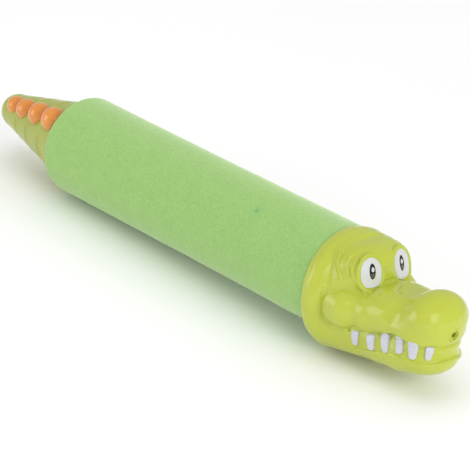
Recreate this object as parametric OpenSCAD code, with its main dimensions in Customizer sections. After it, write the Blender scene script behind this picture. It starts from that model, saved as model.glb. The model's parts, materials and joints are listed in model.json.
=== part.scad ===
// Hand-pumped water squirter with a reptile head and tail.
// A foam-covered barrel carries a two-piece head with the water outlet in
// its snout. The tail is the handle of the plunger: pulled back it draws
// water in through the snout, pushed home it squirts the water out.
// Millimetres. X runs along the barrel, +X out of the snout, +Z up.
// The origin is on the barrel axis, halfway between the hood and the barrel's rear end.

/* [Barrel] */
// Outside diameter of the foam sleeve
foam_d = 60; // [56:1:60]
// Length of the foam sleeve from the hood to the barrel's rear end
foam_l = 230; // [220:1:230]
// Outside diameter of the barrel tube
barrel_d = 40; // [38:1:40]
// Wall thickness of the barrel tube
barrel_wall = 2; // [1.5:0.1:2.2]

/* [Plunger] */
// Outside diameter of the plunger rod
rod_d = 16; // [14:1:16]
// Wall thickness of the plunger rod
rod_wall = 2.5; // [2:0.1:2.5]
// Radial running clearance of the rod in its guide
run = 0.06; // [0.03:0.01:0.1]

/* [Nozzle] */
// Diameter of the water outlet
orifice_d = 3.2; // [2.5:0.1:3.6]
// Length of the outlet bore
orifice_l = 12; // [10:1:13]

/* [Head] */
// Wall thickness of the head shells
head_wall = 2.2; // [1.8:0.1:2.4]
// Radius of the rounded hood behind the face
hood_r = 35.5; // [35:0.1:35.8]
// Height of the flat under the hood, below the axis
rest_z = 37; // [36.8:0.1:37.2]

/* [Tail] */
// Turn of the tail about the barrel axis, from crest-up
tail_turn = 45; // [0:1:90]
// Wall thickness of the tail shells
tail_wall = 2; // [1.6:0.1:2.2]

/* [Hidden] */
$fn = 64;

lime = "#c2cf4d";
olive = "#b4ba5c";
foam_green = "#a3cf7c";
white = "#e6e4ee";
orange = "#e2953c";
dark = "#303234";
steel = "#a8abae";
clear = "#d8dde0";

foam_r = foam_d / 2;
x_front = foam_l / 2;          // rim of the hood
x_rear = -foam_l / 2;          // rear end of the barrel's bore
over = 3.2;                    // foam past it, round the flange of the rear cap
tuck = 6;                      // foam held inside the hood
br = barrel_d / 2;             // barrel outside radius
bi = br - barrel_wall;         // barrel bore radius
rr = rod_d / 2;                // rod outside radius
ri = rr - rod_wall;            // rod bore radius
x_bar0 = x_rear;               // rear end of the barrel
x_bar1 = x_front + 12;         // front end of the barrel
x_cap = x_bar1 + 1.6;          // inside of the front cap's end wall
x_tip = x_front + 85.5;        // mouth of the nozzle tip
x_piston = x_front - 17;       // rear face of the piston
piston_l = 21.5;
x_tail = x_rear - 3.6;         // front face of the tail
tail_slope = 0.2269;
tail_r0 = 26;                  // cone radius in the plane of the barrel's rear end
x_tail_end = x_rear - 67;      // centre of the ball that ends the tail
tail_ball = 10.8;
x_rod_end = x_rear - 37;       // rear end of the rod

function tail_r(x) = tail_r0 + tail_slope * (x - x_rear);

// ---- helpers -------------------------------------------------------------

// Cylinder along X
module cx(x0, x1, r) translate([x0, 0, 0]) rotate([0, 90, 0]) cylinder(h = x1 - x0, r = r);
// Tube along X
module tube(x0, x1, ro, ri) difference() { cx(x0, x1, ro); cx(x0 - 1, x1 + 1, ri); }
// Cone along X
module kx(x0, x1, r0, r1) translate([x0, 0, 0]) rotate([0, 90, 0]) cylinder(h = x1 - x0, r1 = r0, r2 = r1);
// Profile of [radius, x] points turned about X
module rev(p) rotate([0, 90, 0]) rotate_extrude() polygon(p);
// Ball
module ball(p, r) translate(p) sphere(r = r);
// Cylinder along Y
module cy(p, y0, y1, r) translate([p[0], y0, p[1]]) rotate([-90, 0, 0]) cylinder(h = y1 - y0, r = r);
// Half-space box, side -1 is the right-hand half (y < 0)
module half(side, x0, x1, gap = 0) translate([x0, side > 0 ? gap : -100 - gap, -100]) cube([x1 - x0, 100, 200]);
module mirror_side(side) mirror([0, side > 0 ? 1 : 0, 0]) children();
// Torus about X
module ring(x, major, minor) translate([x, 0, 0]) rotate([0, 90, 0]) rotate_extrude() translate([major, 0]) circle(r = minor, $fn = 32);

// ---- barrel --------------------------------------------------------------

module foam_sleeve() color(foam_green) {
  rf = 3;
  rev(concat(
    [[br + 0.05, x_front + tuck], [br + 0.05, x_rear], [br + 4.1, x_rear], [br + 4.1, x_rear - over]],
    [for (a = [0 : 15 : 90]) [foam_r - rf + rf * sin(a), x_rear - over + rf - rf * cos(a)]],
    [[foam_r, x_front], [foam_r - 0.4, x_front], [foam_r - 0.4, x_front + tuck]]));
}

module barrel_tube() color(clear) tube(x_bar0, x_bar1, br, bi);

module front_cap() color(clear) difference() {
  union() {
    cx(x_front + tuck + 0.5, x_cap + 3.4, br + 2.5);
    cx(x_cap + 3, x_cap + 18, 5);
    kx(x_cap + 14, x_cap + 18, 5.4, 4.6);
  }
  cx(x_front + tuck, x_cap, br + 0.05);
  cx(x_cap - 1, x_cap + 20, 2.5);
}

module front_gasket() color(dark) tube(x_bar1 + 0.02, x_cap - 0.02, br, bi - 1.5);

module nozzle_hose() color(clear) tube(x_cap + 6, x_tip - 13, 7, 5.45);

module nozzle_tip() color(lime) difference() {
  union() {
    cx(x_tip - 22, x_tip - 10, 5.4);
    cx(x_tip - 10.5, x_tip - 7.5, 7.6);
    cx(x_tip - 8, x_tip, 3.2);
  }
  cx(x_tip - 23, x_tip - orifice_l, 2.6);
  cx(x_tip - 20, x_tip + 1, orifice_d / 2);
}

module rear_cap() color(clear) difference() {
  union() {
    cx(x_rear - 2.6, x_rear - 0.1, br + 4);
    cx(x_rear - 0.2, x_rear + 12, bi - 0.05);
  }
  cx(x_rear - 4, x_rear + 14, rr + run);
  cx(x_rear + 5, x_rear + 8.2, rr + 2.5);
}

module rod_wiper() color(dark) tube(x_rear + 5.1, x_rear + 8.1, rr + 2.45, rr + run - 0.02);

// ---- head ----------------------------------------------------------------

// Round-ended cone from a (radius ra) to b (radius rb), turned about its own axis
module bean(a, b, ra, rb) {
  v = b - a;
  d = norm(v);
  k = asin((ra - rb) / d);                    // slope of the side
  translate(a) rotate([0, acos(v[2] / d), atan2(v[1], v[0])]) rotate_extrude() polygon(concat(
    [for (i = [0 : 7]) let (t = -90 + i * (90 + k) / 7) [ra * cos(t), ra * sin(t)]],
    [for (i = [0 : 7]) let (t = k + i * (90 - k) / 7) [rb * cos(t), d + rb * sin(t)]]));
}

// A left and a right bean with the space between them filled
module jaw(a, b, ra, rb) {
  for (s = [-1, 1]) bean([a[0], s * a[1], a[2]], [b[0], s * b[1], b[2]], ra, rb);
  za = ra - 0.5;
  zb = rb - 0.5;
  polyhedron(
    points = [[a[0], -a[1], a[2] - za], [b[0], -b[1], b[2] - zb], [b[0], b[1], b[2] - zb], [a[0], a[1], a[2] - za],
              [a[0], -a[1], a[2] + za], [b[0], -b[1], b[2] + zb], [b[0], b[1], b[2] + zb], [a[0], a[1], a[2] + za]],
    faces = [[0, 1, 2, 3], [7, 6, 5, 4], [0, 4, 5, 1], [1, 5, 6, 2], [2, 6, 7, 3], [3, 7, 4, 0]]);
}

// Hood behind the face: a disc with a round edge, a little below the axis
module hood(t) translate([x_front + 8, 0, -2.5]) rotate([0, 90, 0]) rotate_extrude() polygon(concat(
  [[0, -9.5 + t]], [for (a = [-90 : 15 : 90]) [hood_r - 9.5 + (9.5 - t) * cos(a), (9.5 - t) * sin(a)]], [[0, 9.5 - t]]));

// Outer form of the head, drawn in by t for the inside of the shell
module head_form(t) {
  hood(t);
  for (s = [-1, 1]) {
    ball([x_front + 22, s * 12.5, 15.5], 16.5 - t);   // eye mounds
    ball([x_front + 25, s * 21.5, -6], 11 - t);       // cheeks
    ball([x_front + 72, s * 4.5, 5.5], 15 - t);       // snout bulb
  }
  jaw([x_front + 24, 14, 0], [x_front + 67, 7, -1], 12 - t, 10.5 - t);            // upper jaw
  jaw([x_front + 20, 13, -20.5], [x_front + 69, 5.5, -15], 13 - t, 11.5 - t);     // lower jaw
}

// Screws that hold the two halves of the head: [x, z, length of the boss]
head_bosses = [[x_front + 26, 11.5, 26], [x_front + 17, -28.5, 21.4], [x_front + 52, -18, 18.9]];
eye_at = [x_front + 32.5, -11.8, 19];
eye_dir = [0, 76, -14];        // turn of the eye's own axis from +Z

module eye_place() translate(eye_at) rotate([0, 0, eye_dir[2]]) rotate([0, eye_dir[1], 0]) children();

module head_half(side) color(lime) difference() {
  union() {
    difference() {
      intersection() { head_form(0); half(side, x_front + 0.3, x_front + 100); }
      head_form(head_wall);
    }
    // skirt over the end of the foam
    intersection() { cx(x_front + 0.3, x_front + 9, foam_r + 1.6); half(side, x_front, x_front + 20); }
    // rib that grips the front cap
    intersection() {
      translate([0, 0, -2.5]) cx(x_front + 8, x_front + 11, hood_r - 1.6);
      half(side, x_front, x_front + 20);
    }
    // wall behind the eye
    intersection() {
      mirror_side(side) eye_place() translate([0, 0, -2.2]) cylinder(h = 2.3, r = 12.4);
      ball([x_front + 22, side * 12.5, 15.5], 16);
      half(side, x_front, x_front + 100);
    }
    // screw bosses
    for (b = head_bosses) cy([b[0], b[1]], side > 0 ? 0 : -b[2], side > 0 ? b[2] : 0, 3.8);
  }
  cx(x_front - 1, x_front + tuck + 0.3, foam_r - 0.35);
  cx(x_front + 3, x_cap + 3.8, br + 2.55);
  cx(x_tip - 12, x_tip + 20, 3.25);
  cx(x_cap, x_front + 26, 11);
  cx(x_cap, x_tip - 7.4, 7.7);
  // flat the squirter rests on
  translate([x_front - 5, -40, -rest_z - 20]) cube([60, 80, 20]);
  // flat seat of the eye, and the hole for its peg
  mirror_side(side) eye_place() cylinder(h = 20, r = 11.2);
  mirror_side(side) eye_place() translate([0, 0, -6]) cylinder(h = 8, r = 2.1);
  // pilot holes on the right, clearance holes and deep head pockets on the left
  for (b = head_bosses)
    if (side < 0) cy([b[0], b[1]], -12, 1, 1.32);
    else { cy([b[0], b[1]], -1, 40, 1.7); cy([b[0], b[1]], 8, 40, 3.1); }
}

module head_shell_right() head_half(-1);
module head_shell_left() head_half(1);

module screw(p, y_head, y_end) {
  cy(p, y_end, y_head + 0.1, 1.3);
  difference() {
    cy(p, y_head, y_head + 2, 2.8);
    for (a = [0, 90]) translate([p[0], y_head + 2, p[1]]) rotate([0, a, 0]) cube([3.4, 2, 0.8], center = true);
  }
}

module head_screws() color(steel) for (b = head_bosses) screw([b[0], b[1]], 8.02, -11.5);

module eye(side) color(white) mirror_side(side) eye_place() {
  translate([0, 0, 0.02]) cylinder(h = 1.6, r = 8.6);
  translate([0, 0, -1.8]) cylinder(h = 3, r = 2.05);
}
module eye_right() eye(-1);
module eye_left() eye(1);

// One tooth: a tapered peg, root up, standing out along -Y
module tooth(w, h) rotate([90, 0, 0]) linear_extrude(height = 2.4)
  polygon([[-w / 2, 0], [w / 2, 0], [w * 0.36, -h * 0.85], [w * 0.2, -h], [-w * 0.2, -h], [-w * 0.36, -h * 0.85]]);

// [x, y, z of the root, turn, width, height]
tooth_at = [
  [x_front + 37.5, -22.4, -12.6, 9, 4.6, 6.5], [x_front + 47, -20.7, -10.6, 9, 4.8, 8.2],
  [x_front + 55.8, -19, -8.6, 10, 5, 8.6], [x_front + 64, -17.4, -8, 12, 5, 8],
  [x_front + 72.2, -14.9, -8.6, 30, 5, 7.4], [x_front + 79, -7.6, -9.6, 62, 4.6, 6.6]];

module teeth(side) color(white) mirror_side(side)
  for (t = tooth_at) translate([t[0], t[1], t[2]]) rotate([0, 0, t[3]]) tooth(t[4], t[5]);
module teeth_right() teeth(-1);
module teeth_left() teeth(1);

// ---- plunger -------------------------------------------------------------

module piston() color(clear) difference() {
  cx(x_piston, x_piston + piston_l, bi - 0.3);
  for (x = [x_piston + 4, x_piston + 14.3]) tube(x, x + 3.2, bi + 1, bi - 3.1);
  cx(x_piston - 1, x_piston + 12, rr + run);
  cx(x_piston, x_piston + 30, 3.06);
  cx(x_piston + 18, x_piston + 30, 6.6);
}

module piston_o_rings() color(dark)
  for (x = [x_piston + 5.6, x_piston + 15.9]) ring(x, bi - 1.55, 1.5);

module swivel_screw() color(steel) difference() {
  union() {
    cx(x_piston - 4, x_piston + 19, 3);
    cx(x_piston + 18.7, x_piston + 21.2, 5.8);
  }
  translate([x_piston + 20.4, -4, -0.6]) cube([2, 8, 1.2]);
}

module swivel_washer() color(dark) tube(x_piston + 18.1, x_piston + 18.65, 6.3, 3.03);

module rod_plug() color(clear) difference() {
  cx(x_piston - 12, x_piston + 11.7, ri - 0.02);
  cx(x_piston - 6, x_piston + 13, 3.02);
}

module plunger_rod() color(clear) difference() {
  tube(x_rod_end, x_piston + 11.7, rr, ri);
  rotate([tail_turn, 0, 0]) cy([x_rear - 25, 0], -20, 20, 2.03);
}

module stop_buffer() color(dark) tube(x_piston - 4.2, x_piston - 0.3, bi - 2.5, rr + 0.05);

// ---- tail ----------------------------------------------------------------

// Outer form of the tail, drawn in by t
module tail_form(t) {
  kx(x_tail_end - tail_ball * 0.2216, x_tail, tail_r(x_tail_end - tail_ball * 0.2216) - t, tail_r(x_tail) - t);
  ball([x_tail_end, 0, 0], tail_ball - t);
}

tail_bosses = [[x_rear - 13, -15, 13], [x_rear - 51, 0, 12]];
crest_a = atan(tail_slope);

module crest_bar(w, lift, drop) translate([x_rear, 0, tail_r0]) rotate([0, -crest_a, 0])
  translate([-62, -w / 2, -drop]) cube([53, w, lift + drop]);

module tail_half(side) color(olive) rotate([tail_turn, 0, 0]) difference() {
  union() {
    difference() {
      intersection() { tail_form(0); half(side, x_rear - 100, x_rear); }
      difference() { tail_form(tail_wall); cx(x_tail - 2.4, x_tail + 5, 40); }
    }
    // ribs that carry the end of the rod
    intersection() {
      union() { cx(x_rod_end - 1, x_rod_end + 2, 30); cx(x_rear - 27, x_rear - 23, 11.5); }
      tail_form(0.3);
      half(side, x_rear - 100, x_rear);
    }
    intersection() {
      union() {
        for (b = tail_bosses) cy(b, side > 0 ? 0 : -30, side > 0 ? 30 : 0, 3.6);
        cy([x_rear - 25, 0], side > 0 ? 0 : -30, side > 0 ? 30 : 0, 4);
      }
      tail_form(0.3);
    }
  }
  cx(x_rod_end - 0.1, x_rear, rr + 0.05);
  cx(x_rod_end - 5, x_rear, ri - 1);
  cy([x_rear - 25, 0], -14.5, 14.5, 2.03);
  crest_bar(6.1, 5, 2.15);
  for (b = tail_bosses)
    if (side < 0) cy(b, -9, 1, 1.32);
    else { cy(b, -1, 40, 1.7); cy(b, 6, 40, 3.1); }
}
module tail_shell_right() tail_half(-1);
module tail_shell_left() tail_half(1);

// Rounded knobs of the crest: [distance behind the barrel, radius]
crest_at = [[12, 7.6], [29, 7.2], [45.5, 6.5], [58.5, 5.7]];

module tail_crest() color(orange) rotate([tail_turn, 0, 0]) {
  difference() {
    union() {
      for (c = crest_at) ball([x_rear - c[0], 0, tail_r(x_rear - c[0]) - 1.4], c[1]);
    }
    tail_form(-0.05);
  }
  crest_bar(6, 1.2, 2.1);
}

module rod_pin() color(steel) rotate([tail_turn, 0, 0]) cy([x_rear - 25, 0], -14.3, 14.3, 2);

module tail_screws() color(steel) rotate([tail_turn, 0, 0])
  for (b = tail_bosses) screw(b, 6.02, -8.5);

// ---- assembly ------------------------------------------------------------

foam_sleeve();
barrel_tube();
front_cap();
front_gasket();
nozzle_hose();
nozzle_tip();
head_shell_right();
head_shell_left();
head_screws();
eye_right();
eye_left();
teeth_right();
teeth_left();
rear_cap();
rod_wiper();
piston();
piston_o_rings();
swivel_screw();
swivel_washer();
rod_plug();
plunger_rod();
stop_buffer();
tail_shell_right();
tail_shell_left();
tail_crest();
rod_pin();
tail_screws();
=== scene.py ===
import json
import math

import bpy
import numpy as np
from mathutils import Matrix, Vector


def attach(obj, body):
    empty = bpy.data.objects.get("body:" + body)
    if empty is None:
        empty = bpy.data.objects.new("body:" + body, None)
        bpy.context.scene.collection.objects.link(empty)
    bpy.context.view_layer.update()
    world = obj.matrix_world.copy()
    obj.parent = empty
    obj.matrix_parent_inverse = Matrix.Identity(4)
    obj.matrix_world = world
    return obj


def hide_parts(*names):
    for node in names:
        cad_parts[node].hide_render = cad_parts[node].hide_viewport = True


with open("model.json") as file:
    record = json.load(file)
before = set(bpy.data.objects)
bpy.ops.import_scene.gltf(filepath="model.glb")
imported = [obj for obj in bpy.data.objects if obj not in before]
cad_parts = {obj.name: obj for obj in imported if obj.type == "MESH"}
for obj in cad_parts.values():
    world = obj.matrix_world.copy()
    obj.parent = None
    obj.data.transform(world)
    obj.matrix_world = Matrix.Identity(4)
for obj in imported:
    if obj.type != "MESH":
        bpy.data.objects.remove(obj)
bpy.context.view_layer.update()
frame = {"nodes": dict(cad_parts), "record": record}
MM = 0.001

# ---------------------------------------------------------------------------
# Camera: the photograph's, fitted in the part's own frame (mm)

CAM_C = np.array([1094.76, -969.93, 606.14])
FOCAL = 2757.6  # pixels on a 470 px wide image


def camera_axes():
    back = np.array([0.682, -0.618, 0.391])
    right = np.array([0.649, 0.758, 0.066])
    back /= np.linalg.norm(back)
    right -= back * right.dot(back)
    right /= np.linalg.norm(right)
    return right, np.cross(back, right), back


RIGHT, UP, BACK = camera_axes()


def make_camera():
    cam = bpy.data.cameras.new("camera")
    cam.sensor_width = 36.0
    cam.sensor_fit = "HORIZONTAL"
    cam.lens = FOCAL * 36.0 / 470.0
    cam.clip_start = 0.05
    cam.clip_end = 50
    ob = bpy.data.objects.new("camera", cam)
    bpy.context.scene.collection.objects.link(ob)
    m = Matrix.Identity(4)
    for i in range(3):
        m[i][0], m[i][1], m[i][2], m[i][3] = RIGHT[i], UP[i], BACK[i], CAM_C[i] * MM
    ob.matrix_world = m
    bpy.context.scene.camera = ob


make_camera()

# ---------------------------------------------------------------------------
# Distance fields, in mm


def smin(a, b, k):
    h = np.clip(0.5 + 0.5 * (b - a) / k, 0, 1)
    return b + (a - b) * h - k * h * (1 - h)


def smax(a, b, k):
    return -smin(-a, -b, k)


def ellipsoid(p, c, r):
    q = p - np.asarray(c)
    r = np.asarray(r, float)
    k0 = np.sqrt(((q / r) ** 2).sum(-1))
    k1 = np.sqrt(((q / (r * r)) ** 2).sum(-1)) + 1e-9
    return k0 * (k0 - 1) / k1


def round_cone(p, a, b, r1, r2):
    a, b = np.asarray(a, float), np.asarray(b, float)
    ba = b - a
    l2 = ba.dot(ba)
    rr = r1 - r2
    a2 = l2 - rr * rr
    pa = p - a
    y = pa @ ba
    z = y - l2
    x2 = ((pa * l2 - y[..., None] * ba) ** 2).sum(-1)
    y2, z2 = y * y * l2, z * z * l2
    k = np.sign(rr) * rr * rr * x2
    side = (np.sqrt(x2 * a2 / l2) + y * rr) / l2 - r1
    d = np.where(np.sign(y) * a2 * y2 < k, np.sqrt(x2 + y2) / l2 - r1, side)
    return np.where(np.sign(z) * a2 * z2 > k, np.sqrt(x2 + z2) / l2 - r2, d)


def chain(p, stations, k=2.0):
    """A jaw: round cones through (x, half-width of the flat, z, radius), filled across y."""
    ay = np.abs(p[..., 1])
    xs = [s[0] for s in stations]
    flat = np.interp(p[..., 0], xs, [s[1] for s in stations])
    q = np.stack([p[..., 0], np.maximum(ay - flat, 0), p[..., 2]], -1)
    d = None
    for s, t in zip(stations, stations[1:]):
        e = round_cone(q, (s[0], 0, s[2]), (t[0], 0, t[2]), s[3], t[3])
        d = e if d is None else smin(d, e, k)
    return d


def disc(p, xc, zc, radius, half, rnd):
    """Round-edged disc about X."""
    r = np.hypot(p[..., 1], p[..., 2] - zc)
    qx = np.abs(p[..., 0] - xc) - (half - rnd)
    qr = r - (radius - rnd)
    return np.hypot(np.maximum(qx, 0), np.maximum(qr, 0)) + np.minimum(np.maximum(qx, qr), 0) - rnd


def rbox(p, c, half, r):
    q = np.abs(p - np.asarray(c)) - (np.asarray(half) - r)
    return np.linalg.norm(np.maximum(q, 0), axis=-1) + np.minimum(q.max(-1), 0) - r


def cyl_x(p, x0, x1, r):
    return np.maximum(np.hypot(p[..., 1], p[..., 2]) - r, np.maximum(x0 - p[..., 0], p[..., 0] - x1))


def cyl_y(p, c, y0, y1, r):
    return np.maximum(np.hypot(p[..., 0] - c[0], p[..., 2] - c[1]) - r, np.maximum(y0 - p[..., 1], p[..., 1] - y1))


def line_dist(p, pts):
    """Distance to a polyline, far away outside its own box."""
    pts = np.asarray(pts, float)
    lo, hi = pts.min(0) - 6, pts.max(0) + 6
    out = np.full(p.shape[:-1], 9.0)
    m = ((p >= lo) & (p <= hi)).all(-1)
    q = p[m]
    if len(q):
        best = np.full(len(q), 81.0)
        for a, b in zip(pts, pts[1:]):
            ba = b - a
            t = np.clip(((q - a) @ ba) / max(ba.dot(ba), 1e-9), 0, 1)
            best = np.minimum(best, ((q - a - t[:, None] * ba) ** 2).sum(-1))
        out[m] = np.sqrt(best)
    return out


def unit(v):
    v = np.asarray(v, float)
    return v / np.linalg.norm(v)


# ---------------------------------------------------------------------------
# The head

UPPER = [(139, 14.5, -3.4, 11.1), (153, 12.4, -3.2, 11.0), (165, 10.0, -0.9, 10.8), (181, 8.0, 0.0, 10.3)]
BRIDGE = [(144, 4.6, -3.2, 13.0), (150, 5.8, -2.2, 12.6), (158, 8.0, -1.2, 12.0), (170, 7.0, -0.4, 11.8), (182, 5.0, 0.5, 11.0)]
LOWER = [(132, 12.0, -18.6, 13.8), (160, 9.0, -16.8, 12.4), (172, 8.0, -16.6, 12.4)]

EYE_C = np.array([147.2, -11.1, 18.0])
EYE_N = unit([0.95, -0.20, 0.242])
EYE_V = unit(np.array([0, 0, 1.0]) - EYE_N * EYE_N[2])
EYE_U = np.cross(EYE_V, EYE_N)  # towards the animal's left, so inwards on the right eye


def step(x):
    t = np.clip(x, 0, 1)
    return t * t * (3 - 2 * t)


def right_side(p):
    """The same point on the right-hand side, where every one-sided feature is described."""
    q = np.array(p, float, copy=True)
    q[..., 1] = -np.abs(q[..., 1])
    return q


def eye_uvn(p):
    """Place on the eye: across, up, and out of its gently domed face."""
    q = right_side(p) - EYE_C
    u, v = q @ EYE_U, q @ EYE_V
    fade = step((v + 10) / 10)
    below = -7.9 - v
    below = 0.5 * (below + np.sqrt(below * below + 0.4))
    return u, v, q @ EYE_N + fade * (u * u + v * v) / 90.0 - 0.45 * below


def egg(u, v, a, b_up, b_dn):
    """About the distance to an egg-shaped outline."""
    b = np.where(v > 0, b_up, b_dn)
    e = np.sqrt((u / a) ** 2 + (v / b) ** 2)
    return (e - 1) * np.minimum(a, b)


def head_base(p):
    hood = disc(p, 121.4, -3.1, 34.6, 6.2, 6.0)
    skirt = disc(p, 121.0, 0.0, 31.0, 7.0, 1.5)
    hood = smin(hood, skirt, 2.0)
    q = right_side(p)
    dome = ellipsoid(p, (126.0, 0, 6.0), (20.0, 27.6, 22.6))
    mound = ellipsoid(q, (133.5, -10.0, 14.0), (15.0, 13.0, 14.6))
    brow = ellipsoid(p, (136.5, 0, 16.2), (13.8, 14.0, 13.0))
    skull = smin(mound, brow, 4.0)
    u, v, n = eye_uvn(p)
    # pad of the eye with its lower lid, and the room in front of it
    lid = smax(np.maximum(-6.2 - u, u - 11.5), np.maximum(v + 4, -11.8 - v), 1.0)
    pad = np.minimum(egg(u, v + 2.0, 9.0, 10.5, 9.5), lid)
    pad = smax(smax(pad, n, 0.9), -9.0 - n, 0.5)
    skull = smin(skull, pad, 1.8)
    shoulder = rbox(q, (123.6, -16.5, 16.0), (4.4, 7.0, 6.0), 2.8)
    a = smin(smin(hood, dome, 3.0), shoulder, 2.5)
    a = smin(a, skull, 4.0)
    a = smin(a, round_cone(q, (137.0, -17.6, 5.6), (144.4, -15.2, 5.6), 4.2, 3.2), 1.8)
    jaw = smin(chain(p, LOWER), ellipsoid(p, (178.5, 0, -15.6), (21.8, 19.6, 13.6)), 4.0)
    # the front of the mouth is nearly flush with the lips
    jaw = smin(jaw, ellipsoid(p, (181.4, 0, -9.0), (18.8, 19.2, 8.4)), 1.5)
    a = smin(a, jaw, 7.0)
    w = q - np.array([135.4, -18.4, -3.5])
    w = np.stack([0.9945 * w[..., 0] - 0.1045 * w[..., 1], 0.1045 * w[..., 0] + 0.9945 * w[..., 1], w[..., 2]], -1)
    cheek = rbox(w, (0, 0, 0), (13.4, 11.6, 11.6), 10.8)
    # waist between the snout and its bulb
    waist = np.exp(-(((p[..., 0] - 174) / 4.5) ** 2)) * step((p[..., 2] + 2) / 4) * step((np.abs(p[..., 1]) - 8) / 4)
    b = smin(chain(p, UPPER) + 1.7 * waist, chain(p, BRIDGE), 2.5)
    bulb = ellipsoid(p, (187.2, 0, 5.2), (14.3, 18.8, 14.6))
    lip = ellipsoid(p, (183.6, 0, -2.6), (16.6, 20.0, 10.2))
    b = smin(smin(b, smin(bulb, lip, 3.0), 5.0), cheek, 2.5)
    room = smax(np.maximum(-6.9 - u, u - 12.5), np.maximum(v + 5, -15 - v), 1.0)
    room = np.minimum(egg(u, v + 1.0, 8.3, 10.0, 11.0), room)
    a = smax(a, -smax(room, -n, 0.5), 0.7)
    # rounded rim of the eye
    rim = np.hypot(egg(u + 0.2, v + 0.3, 7.9, 9.8, 10.0), n + 0.15) - 0.95
    a = smin(a, rim, 0.7)
    # sharp fold where the lower lid meets the bridge
    fold = np.exp(-(((a - b) / 1.1) ** 2)) * step((-6.5 - v) / 1.0) * step((u + 8) / 1.5) * step((n + 3) / 1.5) * step((155 - q[..., 0]) / 2)
    return smin(a, b, 0.8) + 0.48 * fold * (1 - 0.6 * step((u - 3) / 4))


def trace(f, px, py):
    """Where the photograph's ray through a pixel meets a surface."""
    v = -BACK + RIGHT * (px - 235) / FOCAL - UP * (py - 235) / FOCAL
    v /= np.linalg.norm(v)
    t = 1200.0
    for _ in range(80):
        d = float(f((CAM_C + v * t)[None])[0])
        if abs(d) < 0.01 or t > 1800:
            break
        t += d * 0.8
    return CAM_C + v * t


def traced(f, pixels):
    pts = [trace(f, *q) for q in pixels]
    return np.array([q for q in pts if abs(float(f(q[None])[0])) < 0.3])


# Folds beside the eye and the edge of the hood, as they run across the photograph
WRINKLES = [
    [(347.5, 243.2), (344.3, 247.6), (340.5, 252.2), (338.4, 256.1), (336.8, 263.1), (337.0, 266.6), (338.4, 271.5), (339.4, 276.1), (341.2, 280)],
    [(358, 249.4), (353.1, 252.5), (349.6, 256.8), (347.1, 261), (345.9, 264.8), (346.1, 268.3), (346.8, 271.8), (347.5, 277.1), (348, 281)],
    [(358.5, 257), (355.9, 260.3), (353.1, 264.8), (352, 268.3), (351.5, 272.9), (352, 278)],
]
VALLEY = [(335.5, 243), (334, 255), (333.4, 264), (332.8, 273), (331.5, 281), (328.5, 287)]


def across(q, pixels):
    """Distance right of a line on the photograph, in mm, and place along it from 0 to 1."""
    w = q - CAM_C
    z = -(w @ BACK)
    pt = np.stack([235 + FOCAL * (w @ RIGHT) / z, 235 - FOCAL * (w @ UP) / z], -1)
    line = np.asarray(pixels, float)
    size = np.linalg.norm(np.diff(line, axis=0), axis=1)
    total, run = size.sum(), 0.0
    best = np.full(len(q), 1e9)
    sign, along = np.zeros(len(q)), np.zeros(len(q))
    for a, b, ln in zip(line, line[1:], size):
        ba, pa = b - a, pt - a
        t = np.clip((pa @ ba) / (ln * ln), 0, 1)
        e = np.linalg.norm(pa - t[:, None] * ba, axis=1)
        m = e < best
        best[m] = e[m]
        sign[m] = np.sign(ba[1] * pa[m, 0] - ba[0] * pa[m, 1])
        along[m] = (run + t[m] * ln) / total
        run += ln
    return sign * best / 1.87, along


UPPER_LIP = traced(head_base, [(349, 329), (363, 331), (377, 333), (387, 333.5), (395, 334.5), (406, 341), (420, 347.0), (432, 346.5), (443, 345.5), (448, 345)])
LOWER_LIP = traced(head_base, [(372, 345.5), (380, 349), (388, 353), (401, 358.8), (412, 362.5), (420, 364.6), (430, 365.6), (439, 364), (446, 361.5)])
LOWER_EDGE = traced(head_base, [(349, 347), (360, 350.5), (372, 352.5), (388, 355), (401, 359.5), (412, 363), (420, 364.8), (430, 365.8), (439, 364.2), (446, 361.7)])
PITS = traced(head_base, [(349.2, 329.6), (361.0, 335.0)])


def round_mouth(p):
    """Angle round the mouth: 0 at the front, 90 degrees at its corner."""
    return np.arctan2(np.abs(p[..., 1]), p[..., 0] - 149.0)


def lip_height(lip):
    a = round_mouth(lip)
    o = np.argsort(a)
    return a[o], lip[o, 2]


UP_A, UP_Z = lip_height(UPPER_LIP)
LO_A, LO_Z = lip_height(LOWER_EDGE)


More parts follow.
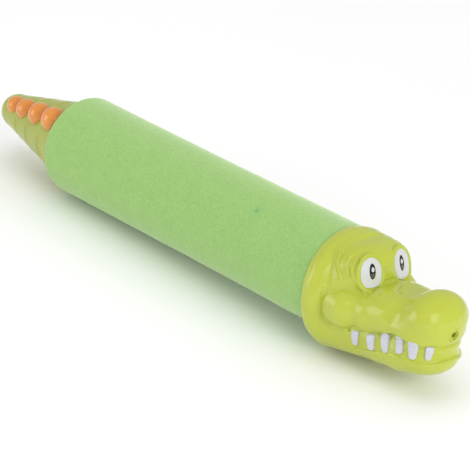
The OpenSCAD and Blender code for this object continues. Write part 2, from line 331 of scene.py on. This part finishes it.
def head_skin(p):
    d = head_base(p)
    q = right_side(p)
    r = np.hypot(p[..., 1], p[..., 2])
    # ring round the outlet
    ring = np.hypot(r - 3.1, np.where(p[..., 0] > 190, d, 9) - 0.05) - 0.6
    near = np.abs(d) < 6
    if near.any():
        qn = q[near]
        add = np.zeros(len(qn))
        side = (qn[:, 2] > 0) & (qn[:, 0] > 116) & (qn[:, 0] < 150) & (qn[:, 1] < -6)
        qs = qn[side]
        fold = np.zeros(len(qs))
        for w in WRINKLES:
            e, t = across(qs, w)
            ends = (np.sin(np.pi * t) + 1e-9) ** 0.3
            fold += ends * (0.72 * np.exp(-((e / 0.62) ** 2)) - 0.45 * np.exp(-(((e - 1.4) / 0.85) ** 2)) - 0.2 * np.exp(-(((e + 1.1) / 0.7) ** 2)))
        e, t = across(qs, VALLEY)
        ends = (np.sin(np.pi * t) + 1e-9) ** 0.3
        fold -= ends * 0.9 * np.exp(-((np.maximum(e, -e * 0.45) / 1.6) ** 2))
        add[side] += fold * step((29 - qs[:, 2]) / 5)
        e = line_dist(qn, LOWER_LIP)
        add += 0.9 * np.exp(-((e / 0.85) ** 2))
        # the band between the lips lies a little deeper
        a = round_mouth(qn)
        up, lo = np.interp(a, UP_A, UP_Z), np.interp(a, LO_A, LO_Z)
        band = step((up - qn[:, 2]) / 0.7) * step((qn[:, 2] - lo) / 0.9) * step((qn[:, 0] - 148.5) / 2.5)
        add -= (1.1 - 0.3 * step((qn[:, 0] - 180) / 6)) * band
        d[near] -= add
    for c in PITS:
        d = smax(d, 0.95 - np.sqrt(((q - c) ** 2).sum(-1)), 0.2)
    d = smin(d, ring, 0.6)
    d = smax(d, -37.0 - p[..., 2], 0.8)
    return smax(d, 115.1 - p[..., 0], 1.2)


BOSSES = [(141.0, 11.5), (132.0, -28.5), (167.0, -18.0)]
WALL = 2.2


def head_half(side):
    def f(p):
        skin = head_skin(p)
        room = skin + WALL
        q = p * np.array([1.0, side, 1.0])  # q's y is positive inside this half
        for b in BOSSES:
            room = smax(room, -cyl_y(q, b, -5, 60, 3.8), 0.4)
        d = np.maximum(skin, -room)
        d = np.maximum(d, -cyl_x(p, 100, 121.4, 29.72))
        d = np.maximum(d, -cyl_x(p, 118, 132.4, 22.6))
        d = np.maximum(d, -cyl_x(p, 128, 193.1, 7.7))
        d = np.maximum(d, -cyl_x(p, 190, 200.55, 3.25))
        d = smax(d, -cyl_x(p, 195, 210, 2.2), 0.3)
        for b in BOSSES:
            if side > 0:
                d = smax(d, -cyl_y(q, b, -1, 60, 1.75), 0.2)
                d = smax(d, -cyl_y(q, b, 8.0, 60, 3.1), 0.4)
            else:
                d = np.maximum(d, -cyl_y(q, b, -1, 12, 1.35))
        return np.maximum(d, 0.01 - q[..., 1])

    return f


# ---------------------------------------------------------------------------
# Surface of a distance field

STEP_LIMIT = 0.45


def sample(f, lo, n, h):
    """The field on a grid, worked out in full only in the blocks the surface may cross."""
    bs = 8
    nb = [(m + bs - 1) // bs for m in n]
    big = [b * bs for b in nb]
    half = bs * h / 2
    c = np.stack(np.meshgrid(*[lo[i] + (np.arange(nb[i]) * bs + bs / 2 - 0.5) * h for i in range(3)], indexing="ij"), -1)
    fc = f(c.reshape(-1, 3)).reshape(nb)
    out = np.repeat(np.repeat(np.repeat(np.sign(fc) * 50, bs, 0), bs, 1), bs, 2)
    act = np.argwhere(np.abs(fc) < half * 1.733 * 1.35 + 1.0)
    o = np.stack(np.meshgrid(*[np.arange(bs)] * 3, indexing="ij"), -1).reshape(-1, 3)
    for s in range(0, len(act), 400):
        part = act[s : s + 400]
        idx = (part[:, None, :] * bs + o[None]).reshape(-1, 3)
        out[idx[:, 0], idx[:, 1], idx[:, 2]] = f(np.asarray(lo) + idx * h)
    return out[: n[0], : n[1], : n[2]]


def gradient(f, p, e=0.04):
    g = np.empty_like(p)
    for i in range(3):
        s = np.zeros(3)
        s[i] = e
        g[:, i] = (f(p + s) - f(p - s)) / (2 * e)
    return g


def surface(f, lo, hi, h, rounds=2):
    """Closed quad mesh of f = 0 (surface nets, then moved onto the surface)."""
    lo = np.asarray(lo, float)
    n = [int(math.ceil((hi[i] - lo[i]) / h)) + 2 for i in range(3)]
    g = sample(f, lo, n, h)
    ins = g < 0
    cells = np.zeros([m - 1 for m in n], np.int8)
    corners = [(i, j, k) for i in (0, 1) for j in (0, 1) for k in (0, 1)]
    for i, j, k in corners:
        cells += ins[i : n[0] - 1 + i, j : n[1] - 1 + j, k : n[2] - 1 + k]
    active = np.argwhere((cells > 0) & (cells < 8))
    val = {c: g[active[:, 0] + c[0], active[:, 1] + c[1], active[:, 2] + c[2]] for c in corners}
    tot = np.zeros((len(active), 3))
    cnt = np.zeros(len(active))
    for a in corners:
        for ax in range(3):
            if a[ax]:
                continue
            b = list(a)
            b[ax] = 1
            va, vb = val[a], val[tuple(b)]
            m = (va < 0) != (vb < 0)
            t = va[m] / (va[m] - vb[m])
            pt = np.repeat(np.array([a], float), m.sum(), 0)
            pt[:, ax] = t
            tot[m] += pt
            cnt[m] += 1
    verts = lo + (active + tot / cnt[:, None]) * h
    number = np.full([m - 1 for m in n], -1, np.int64)
    number[active[:, 0], active[:, 1], active[:, 2]] = np.arange(len(active))
    faces = []
    for ax in range(3):
        a1, a2 = (ax + 1) % 3, (ax + 2) % 3
        s0 = [slice(None)] * 3
        s1 = [slice(None)] * 3
        s0[ax], s1[ax] = slice(0, -1), slice(1, None)
        e = np.argwhere(ins[tuple(s0)] != ins[tuple(s1)])
        e = e[(e[:, a1] > 0) & (e[:, a2] > 0) & (e[:, a1] < n[a1] - 1) & (e[:, a2] < n[a2] - 1)]
        quad = []
        for d1, d2 in ((-1, -1), (0, -1), (0, 0), (-1, 0)):
            c = e.copy()
            c[:, a1] += d1
            c[:, a2] += d2
            quad.append(number[c[:, 0], c[:, 1], c[:, 2]])
        quad = np.stack(quad, -1)
        flip = ~ins[e[:, 0], e[:, 1], e[:, 2]]
        quad[flip] = quad[flip][:, ::-1]
        faces.append(quad)
    faces = np.concatenate(faces)
    start = verts.copy()
    for _ in range(rounds):
        d = f(verts)
        gr = gradient(f, verts)
        step = (d / np.maximum((gr * gr).sum(-1), 0.2))[:, None] * gr
        verts = verts - step
        off = verts - start
        ln = np.linalg.norm(off, axis=1)
        k = np.minimum(1, STEP_LIMIT * h / np.maximum(ln, 1e-9))
        verts = start + off * k[:, None]
    return verts, faces


def crisp(verts, skin, y, side, h):
    """Bring the corner vertices of a half exactly onto its edge on the parting plane."""
    k = np.flatnonzero((verts[:, 1] * side - y < 0.55 * h) & (np.abs(skin(verts)) < 0.62 * h))
    v = verts[k]
    v[:, 1] = y * side
    for _ in range(3):
        d, g = skin(v), gradient(skin, v)
        g[:, 1] = 0
        v = v - (d / np.maximum((g * g).sum(-1), 0.2))[:, None] * g
    verts[k] = v
    return verts


def mesh_object(name, verts, faces, smooth=True):
    me = bpy.data.meshes.new(name)
    faces = np.asarray(faces)
    me.vertices.add(len(verts))
    me.vertices.foreach_set("co", (np.asarray(verts) * MM).astype(np.float32).ravel())
    k = faces.shape[1]
    me.loops.add(faces.size)
    me.loops.foreach_set("vertex_index", faces.ravel().astype(np.int32))
    me.polygons.add(len(faces))
    me.polygons.foreach_set("loop_start", np.arange(0, faces.size, k, dtype=np.int32))
    me.polygons.foreach_set("loop_total", np.full(len(faces), k, np.int32))
    me.update(calc_edges=True)
    me.validate()
    ob = bpy.data.objects.new(name, me)
    bpy.context.scene.collection.objects.link(ob)
    me.polygons.foreach_set("use_smooth", np.full(len(me.polygons), smooth, bool))
    me.set_sharp_from_angle(angle=math.radians(62))
    return ob


def field_object(name, f, lo, hi, h, rounds=2):
    return mesh_object(name, *surface(f, lo, hi, h, rounds))


# ---------------------------------------------------------------------------
# Materials


def lin(r, g, b):
    def c(v):
        v /= 255
        return v / 12.92 if v <= 0.04045 else ((v + 0.055) / 1.055) ** 2.4

    return (c(r), c(g), c(b), 1)


class Mat:
    def __init__(self, name):
        self.m = bpy.data.materials.new(name)
        self.m.use_nodes = True
        self.n = self.m.node_tree.nodes
        self.l = self.m.node_tree.links
        self.b = next(x for x in self.n if x.type == "BSDF_PRINCIPLED")
        self.t = self.n.new("ShaderNodeTexCoord")

    def noise(self, scale, detail=3, rough=0.55):
        x = self.n.new("ShaderNodeTexNoise")
        x.inputs["Scale"].default_value = scale
        x.inputs["Detail"].default_value = detail
        x.inputs["Roughness"].default_value = rough
        self.l.new(self.t.outputs["Object"], x.inputs["Vector"])
        return x.outputs["Fac"]

    def voronoi(self, scale, feature="F1"):
        x = self.n.new("ShaderNodeTexVoronoi")
        x.feature = feature
        x.inputs["Scale"].default_value = scale
        self.l.new(self.t.outputs["Object"], x.inputs["Vector"])
        return x.outputs["Distance"]

    def far(self, point):
        x = self.n.new("ShaderNodeVectorMath")
        x.operation = "DISTANCE"
        self.l.new(self.t.outputs["Object"], x.inputs[0])
        x.inputs[1].default_value = point
        return x.outputs["Value"]

    def ramp(self, fac, stops):
        x = self.n.new("ShaderNodeValToRGB")
        e = x.color_ramp.elements
        e[0].position, e[0].color = stops[0]
        e[1].position, e[1].color = stops[-1]
        for pos, col in stops[1:-1]:
            y = e.new(pos)
            y.color = col
        self.l.new(fac, x.inputs["Fac"])
        return x.outputs["Color"]

    def span(self, fac, a, b, lo=0.3, hi=0.7):
        x = self.n.new("ShaderNodeMapRange")
        x.inputs["From Min"].default_value = lo
        x.inputs["From Max"].default_value = hi
        x.inputs["To Min"].default_value = a
        x.inputs["To Max"].default_value = b
        self.l.new(fac, x.inputs["Value"])
        return x.outputs["Result"]

    def mix(self, fac, a, b):
        x = self.n.new("ShaderNodeMix")
        x.data_type = "RGBA"
        self.l.new(fac, x.inputs["Factor"])
        for s, v in (("A", a), ("B", b)):
            i = next(k for k in x.inputs if k.name == s and k.type == "RGBA")
            if isinstance(v, tuple):
                i.default_value = v
            else:
                self.l.new(v, i)
        return next(k for k in x.outputs if k.type == "RGBA")

    def set(self, name, value):
        i = self.b.inputs[name]
        if isinstance(value, (int, float, tuple)):
            i.default_value = value
        else:
            self.l.new(value, i)

    def bump(self, height, strength, distance):
        x = self.n.new("ShaderNodeBump")
        x.inputs["Strength"].default_value = strength
        x.inputs["Distance"].default_value = distance
        self.l.new(height, x.inputs["Height"])
        self.l.new(x.outputs["Normal"], self.b.inputs["Normal"])


def plastic(name, light, dark, rough=(0.16, 0.26), grain=0.0, sss=0.0, coat=0.0):
    m = Mat(name)
    m.set("Base Color", m.ramp(m.noise(38, 4), [(0.3, dark), (0.7, light)]))
    m.set("Roughness", m.span(m.noise(120, 3), *rough))
    m.set("Specular IOR Level", 0.5)
    if coat:
        m.set("Coat Weight", coat)
        m.set("Coat Roughness", 0.08)
    if sss:
        m.set("Subsurface Weight", sss)
        m.set("Subsurface Scale", 0.004)
        m.set("Subsurface Radius", (1.0, 1.0, 0.35))
    if grain:
        m.bump(m.noise(900, 2), grain, 0.0002)
    return m.m


FLECK = trace(lambda p: np.hypot(p[..., 1], p[..., 2]) - 30.0, 256.4, 210.6)


def make_foam():
    m = Mat("foam_green")
    fine = m.voronoi(1150)
    mid = m.noise(700, 3, 0.6)
    col = m.ramp(m.noise(90, 4, 0.6), [(0.32, lin(148, 189, 108)), (0.68, lin(152, 193, 112))])
    col = m.mix(m.span(mid, 0.0, 0.5, 0.5, 0.72), col, lin(166, 201, 130))
    col = m.mix(m.span(mid, 0.5, 0.0, 0.28, 0.5), col, lin(132, 174, 96))
    # a small dark fleck in the foam, with a faint stain round it
    at = tuple(FLECK * MM)
    col = m.mix(m.span(m.far(at), 0.35, 0.0, 0.0005, 0.006), col, lin(118, 186, 112))
    col = m.mix(m.span(m.far(at), 0.75, 0.0, 0.0004, 0.0016), col, lin(92, 150, 112))
    m.set("Base Color", col)
    m.set("Roughness", m.span(mid, 0.82, 0.95))
    m.set("Specular IOR Level", 0.25)
    m.set("Sheen Weight", 1.0)
    m.set("Sheen Roughness", 0.4)
    m.set("Sheen Tint", lin(225, 240, 205))
    m.bump(fine, 0.35, 0.0005)
    return m.m


MAT = {
    "head_lime": plastic("lime_plastic", lin(183, 193, 66), lin(178, 188, 61), (0.14, 0.22), 0.02, 0.0, 0.2),
    "tail_olive": plastic("olive_plastic", lin(166, 175, 68), lin(162, 171, 65), (0.18, 0.28), 0.02),
    "crest_orange": plastic("orange_plastic", lin(226, 142, 54), lin(218, 134, 48), (0.14, 0.2), 0.02, 0.0, 0.6),
    "eye_white": plastic("eye_white", lin(208, 210, 211), lin(203, 205, 206), (0.14, 0.2), 0.0),
    "tooth_white": plastic("tooth_white", lin(200, 201, 212), lin(194, 195, 206), (0.3, 0.4), 0.02),
    "pupil_black": plastic("pupil_black", lin(26, 25, 25), lin(18, 18, 18), (0.16, 0.24), 0.0),
    "pupil_grey": plastic("pupil_grey", lin(96, 92, 86), lin(84, 80, 76), (0.2, 0.28), 0.0),
    "white_plastic": plastic("white_plastic", lin(226, 228, 226), lin(216, 219, 217), (0.25, 0.38), 0.03),
    "foam": make_foam(),
}


def make_rubber():
    m = Mat("black_rubber")
    m.set("Base Color", m.ramp(m.noise(90, 4), [(0.3, lin(30, 30, 31)), (0.7, lin(44, 44, 45))]))
    m.set("Roughness", m.span(m.noise(300, 3), 0.55, 0.75))
    m.bump(m.noise(700, 2), 0.1, 0.0002)
    return m.m


def make_steel():
    m = Mat("zinc_steel")
    m.set("Base Color", m.ramp(m.noise(200, 4), [(0.3, lin(168, 170, 172)), (0.7, lin(196, 197, 198))]))
    m.set("Metallic", 1.0)
    m.set("Roughness", m.span(m.noise(500, 3), 0.25, 0.4))
    return m.m


MAT["black_rubber"] = make_rubber()
MAT["steel"] = make_steel()


def dress(ob, slot, body, *nodes, mat=None):
    ob.data.materials.clear()
    ob.data.materials.append(MAT[mat or slot])
    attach(ob, body)
    if nodes:
        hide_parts(*nodes)
    return ob


SLOT_OF = {s["node"]: s["material_slot"] for s in frame["record"]["subparts"]}
for name, ob in frame["nodes"].items():
    ob.data.materials.clear()
    ob.data.materials.append(MAT[SLOT_OF[name]])

# ---------------------------------------------------------------------------
# Head pieces

H = 0.5
for side, name, lo, hi in ((-1, "right", -37.75, 1), (1, "left", -1.25, 37.5)):
    v, q = surface(head_half(side), (114, lo, -39), (203.5, hi, 35), H)
    v = crisp(v, head_skin, 0.01, side, H)
    dress(mesh_object("head_" + name, v, q), "head_lime", "barrel", "head_shell_" + name)


def mirrored(verts, faces):
    return verts * np.array([1.0, -1.0, 1.0]), faces[:, ::-1]


def pair(name, f, lo, hi, h, slot, nodes, mat=None, rounds=2):
    v, q = surface(f, lo, hi, h, rounds)
    a = dress(mesh_object(name + "_right", v, q), slot, "barrel", *nodes[:1], mat=mat)
    b = dress(mesh_object(name + "_left", *mirrored(v, q)), slot, "barrel", *nodes[1:], mat=mat)
    return a, b


def eye_layer(outline, low, high):
    def f(p):
        u, v, n = eye_uvn(p)
        return smax(smax(outline(u, v), n - high, 0.25), low - n, 0.2)

    return f


def sclera_outline(u, v):
    e = egg(u + 0.3, v, 6.6, 8.7, 9.8)
    return smax(e, -7.9 - v, 1.5)


def pupil_outline(u, v):
    return egg(u - 0.3, v - 0.7, 1.95, 4.5, 4.3)


def glint_outline(u, v):
    return egg(u - 0.5, v - 1.6, 0.95, 1.6, 1.2)


def iris_outline(u, v):
    return smax(egg(u - 0.3, v - 0.4, 1.35, 3.6, 3.5), v + 0.2, 0.4)


EYE_LO, EYE_HI = EYE_C - 12, EYE_C + 12
pair("eye", eye_layer(sclera_outline, -1.2, 0.25), EYE_LO, EYE_HI, 0.35, "eye_white", ["eye_right", "eye_left"])
pair("pupil", eye_layer(pupil_outline, -0.4, 0.42), EYE_C - 8, EYE_C + 8, 0.25, "eye_white", [], "pupil_black")
pair("iris", eye_layer(iris_outline, 0.0, 0.5), EYE_C - 7, EYE_C + 7, 0.25, "eye_white", [], "pupil_grey")
pair("glint", eye_layer(glint_outline, 0.0, 0.58), EYE_C - 5, EYE_C + 5, 0.2, "eye_white", [])

# Teeth: pixel of the root's middle, pixel of the tip's middle, width at the root in mm
TEETH = [
    ((355, 330.5), (355, 345.6), 4.6),
    ((370.2, 334.5), (371, 350.5), 5.2),
    ((383.6, 333.4), (385.0, 353), 5.4),
    ((397.8, 336.5), (397.8, 354), 5.2),
    ((412.4, 342.6), (411.4, 359.5), 6.0),
    ((430.5, 347.4), (427.5, 361), 4.6),
]
# the row on the far side sits a little farther back
FAR = [
    ((354, 330.5), (354, 345.6), 4.6),
    ((365.5, 333.0), (366, 348.5), 5.0),
    ((377, 333.6), (377.6, 351), 5.2),
    ((388, 333.8), (388.4, 353), 5.2),
    ((399, 336.8), (398.8, 355), 5.0),
    ((409.5, 341.2), (408.5, 357.6), 4.4),
]


def tooth_field(root, tip, width):
    a, b = trace(head_base, *root), trace(head_base, *tip)
    c = (a + b) / 2
    g = gradient(head_base, c[None], 1.5)[0]
    n = unit([g[0], g[1], 0])
    v = unit(a - b)
    v = unit(v - n * v.dot(n))
    u = np.cross(v, n)
    length = np.linalg.norm(a - b)

    def f(p):
        q = p - c
        pu, pv, pn = q @ u, q @ v, q @ n
        t = np.clip(0.5 - pv / length, 0, 1)
        w = width / 2 * (1 - 0.38 * t**1.6)
        d2 = smax(np.abs(pu) - w, np.abs(pv) - length / 2, 1.6)
        d = head_base(p)
        return smax(smax(smax(d2, d - 0.35, 0.7), -1.9 - d, 0.3), -6 - pn, 0.3)

    return f, c - 8, c + 8


def teeth(rows):
    vs, qs, k = [], [], 0
    for t in rows:
        f, lo, hi = tooth_field(*t)
        v, q = surface(f, lo, hi, 0.32)
        vs.append(v)
        qs.append(q + k)
        k += len(v)
    return np.concatenate(vs), np.concatenate(qs)


dress(mesh_object("teeth_row_right", *teeth(TEETH)), "tooth_white", "barrel", "teeth_right")
dress(mesh_object("teeth_row_left", *mirrored(*teeth(FAR))), "tooth_white", "barrel", "teeth_left")

# ---------------------------------------------------------------------------
# Foam sleeve: turned profile with a fine cellular skin


def value_noise(p, seed):
    """Smooth random field in 0..1, the same on every run."""
    i = np.floor(p).astype(np.int64)
    w = p - i
    w = w * w * (3 - 2 * w)
    out = 0
    for dx in (0, 1):
        for dy in (0, 1):
            for dz in (0, 1):
                k = (i[:, 0] + dx) * 73856093 ^ (i[:, 1] + dy) * 19349663 ^ (i[:, 2] + dz) * 83492791 ^ seed * 2654435
                k = (k ^ (k >> 13)) * 1274126177 & 0x7FFFFFFF
                k = (k ^ (k >> 16)) & 0xFFFF
                r = k / 65535.0
                out = out + r * (w[:, 0] if dx else 1 - w[:, 0]) * (w[:, 1] if dy else 1 - w[:, 1]) * (w[:, 2] if dz else 1 - w[:, 2])
    return out


def foam():
    xr, xf, R, rf, bore = -118.2, 115.0, 30.0, 3.0, 20.05
    prof = [(bore, -114.4), (bore + 0.6, -115.0), (22.4, -115.0), (24.0, -115.0), (24.1, -115.2), (24.1, -116.6), (24.1, xr + 0.4), (24.5, xr)]
    first = len(prof)
    prof += [(r, xr) for r in np.arange(25.2, R - rf - 0.2, 0.8)]
    prof += [(R - rf + rf * math.sin(a), xr + rf - rf * math.cos(a)) for a in np.linspace(0, math.pi / 2, 9)]
    outer0 = len(prof) - 9
    prof += [(R, x) for x in np.arange(xr + rf + 0.8, xf - 1.2, 0.8)]
    prof += [(R, xf - 1.0), (R - 0.1, xf - 0.4), (R - 0.4, xf + 0.1), (R - 0.42, xf + 2), (R - 0.42, xf + 5.6), (R - 0.8, xf + 6)]
    outer1 = len(prof) - 4
    prof += [(bore + 0.4, xf + 6), (bore, xf + 5.6)]
    prof += [(bore, x) for x in np.linspace(xf - 2, -108, 12)]
    prof = np.array(prof)
    m, k = len(prof), 236
    ang = np.arange(k) / k * 2 * np.pi
    r = np.repeat(prof[:, 0][:, None], k, 1)
    x = np.repeat(prof[:, 1][:, None], k, 1)
    pts = np.stack([x, r * np.cos(ang), r * np.sin(ang)], -1).reshape(-1, 3)
    rows = np.repeat(np.arange(m), k)
    skin = ((rows >= first) & (rows <= outer1)).astype(float)
    skin *= np.clip((115 - pts[:, 0]) / 1.5, 0, 1)
    cells = value_noise(pts / 1.1, 3) - 0.5
    lumps = value_noise(pts / 4.0 + 40, 5) - 0.5
    wave = value_noise(pts / 22.0 + 90, 9) - 0.5
    bow = -0.28 * np.cos(np.pi * np.clip(pts[:, 0] / 115, -1, 1) / 2)
    amount = skin * (0.16 * cells + 0.12 * lumps + 0.3 * wave + np.where(rows >= outer0, bow, 0))
    nrm = np.zeros_like(pts)
    t = np.gradient(prof, axis=0)
    nr, nx = t[:, 1], -t[:, 0]
    ln = np.hypot(nr, nx)
    nr, nx = nr / ln, nx / ln
    nrm[:, 0] = np.repeat(nx, k)
    nrm[:, 1] = (nr[:, None] * np.cos(ang)).ravel()
    nrm[:, 2] = (nr[:, None] * np.sin(ang)).ravel()
    pts = pts + nrm * amount[:, None]
    i, j = np.meshgrid(np.arange(m), np.arange(k), indexing="ij")
    a = i * k + j
    b = i * k + (j + 1) % k
    c = ((i + 1) % m) * k + (j + 1) % k
    d = ((i + 1) % m) * k + j
    faces = np.stack([a, b, c, d], -1).reshape(-1, 4)[:, ::-1]
    ob = mesh_object("foam", pts, faces)
    dress(ob, "foam", "barrel", "foam_sleeve")


foam()

# ---------------------------------------------------------------------------
# Tail, described crest-up and then turned with the rod

TURN = math.radians(45)
SLOPE = 0.2269
CREST = [(-127.6, 7.8), (-144.8, 7.4), (-161.5, 6.7), (-174.8, 5.9)]


def unturn(p):
    c, s = math.cos(TURN), math.sin(TURN)
    q = np.array(p, float, copy=True)
    q[..., 1] = p[..., 1] * c + p[..., 2] * s
    q[..., 2] = -p[..., 1] * s + p[..., 2] * c
    return q


def tail_r(x):
    return 26.0 + SLOPE * (x + 115.0)


def tail_skin(q):
    r = np.hypot(q[..., 1], q[..., 2])
    cone = (r - tail_r(q[..., 0])) / math.hypot(1, SLOPE)
    ball = np.sqrt((q[..., 0] + 182.9) ** 2 + r**2) - 10.5
    cone = np.maximum(cone, -184.4 - q[..., 0])
    d = smin(cone, ball, 1.0)
    # rings that step the tail, one ahead of each knob
    for x in (-135.5, -152.5, -167.3):
        d = d + 0.6 * np.exp(-(((q[..., 0] - x) / 0.8) ** 2))
        d = d - 0.22 * np.exp(-(((q[..., 0] - x - 1.8) / 1.3) ** 2))
    return smax(d, q[..., 0] + 118.6, 1.2)


def knobs(q, grow=0.0):
    d = None
    for x, rad in CREST:
        c = np.array([x, 0, tail_r(x) - 1.4])
        e = np.sqrt(((q - c) ** 2).sum(-1)) - rad - grow
        d = e if d is None else smin(d, e, 1.2)
    return d


TAIL_BOSSES = [(-128.0, -15.0), (-166.0, 0.0)]


def tail_half(side):
    def f(p):
        q = unturn(p)
        skin = tail_skin(q)
        s = q * np.array([1.0, side, 1.0])
        room = skin + 2.0
        for b in TAIL_BOSSES:
            room = smax(room, -cyl_y(s, b, -5, 40, 3.6), 0.4)
        room = np.maximum(room, -(cyl_x(q, -153, -118, 10.5)))
        d = np.maximum(skin, -room)
        d = np.maximum(d, -cyl_x(q, -152.1, -110, 8.05))
        for b in TAIL_BOSSES:
            if side > 0:
                d = np.maximum(d, -cyl_y(s, b, -1, 40, 1.75))
                d = smax(d, -cyl_y(s, b, 6.0, 40, 3.1), 0.4)
            else:
                d = np.maximum(d, -cyl_y(s, b, -1, 9, 1.35))
        return smax(d, 0.04 - s[..., 1], 0.35)

    return f


TLO, THI = (-194.5, -27, -27), (-117, 27, 27)
dress(field_object("tail_right", tail_half(-1), TLO, THI, 0.62), "tail_olive", "plunger", "tail_shell_right")
dress(field_object("tail_left", tail_half(1), TLO, THI, 0.62), "tail_olive", "plunger", "tail_shell_left")


def crest_field(p):
    q = unturn(p)
    skin = tail_skin(q)
    return smax(knobs(q), -(skin + 0.15), 0.1)


dress(field_object("crest", crest_field, (-181, -32, -2), (-118, 3, 32), 0.45), "crest_orange", "plunger", "tail_crest")

# ---------------------------------------------------------------------------
# Floor and light


def floor():
    # through the hood's flat and the foam's rear edge
    x0, z0, x1, z1 = 0.123, -0.037, -0.1152, -0.030
    s = (z1 - z0) / (x1 - x0)
    big = 6.0
    v = [(x, y, z0 + s * (x - x0) - 0.0004) for x, y in ((-big, -big), (big, -big), (big, big), (-big, big))]
    me = bpy.data.meshes.new("floor")
    me.from_pydata(v, [], [(0, 1, 2, 3)])
    ob = bpy.data.objects.new("floor", me)
    bpy.context.scene.collection.objects.link(ob)
    m = Mat("pale_floor")
    m.set("Base Color", m.ramp(m.noise(3, 2), [(0.3, lin(250, 250, 250)), (0.7, lin(252, 252, 252))]))
    m.set("Roughness", 0.9)
    m.set("Specular IOR Level", 0.1)
    me.materials.append(m.m)


floor()


def area(name, pos, target, size, power, mirror=True, color=(1, 1, 1)):
    li = bpy.data.lights.new(name, "AREA")
    li.shape = "RECTANGLE"
    li.size, li.size_y = size
    li.energy = power
    li.color = color
    ob = bpy.data.objects.new(name, li)
    bpy.context.scene.collection.objects.link(ob)
    ob.location = pos
    d = Vector(target) - Vector(pos)
    ob.rotation_euler = d.to_track_quat("-Z", "Y").to_euler()
    ob.visible_glossy = mirror
    return ob


world = bpy.data.worlds.new("studio")
bpy.context.scene.world = world
world.use_nodes = True
bg = world.node_tree.nodes["Background"]
bg.inputs["Color"].default_value = (1, 1, 1, 1)
bg.inputs["Strength"].default_value = 0.585
area("top", (-0.1, -0.3, 1.6), (0, 0, 0), (1.4, 1.4), 6.0, mirror=False)
area("front", (1.7, 0.05, 0.55), (0.1, 0, 0), (0.9, 0.9), 10.2, mirror=False)
area("back", (-0.8, 1.4, 1.6), (-0.6, 1.2, 0), (2.0, 2.0), 10.0, mirror=False)
area("left_box", (-0.62, -0.92, 0.27), (0.1, 0, 0), (0.8, 0.66), 3.0)
area("front_box", (1.29, -0.55, 0.61), (0.16, 0, 0), (0.62, 1.0), 3.8)
bpy.context.scene.view_settings.view_transform = "Standard"
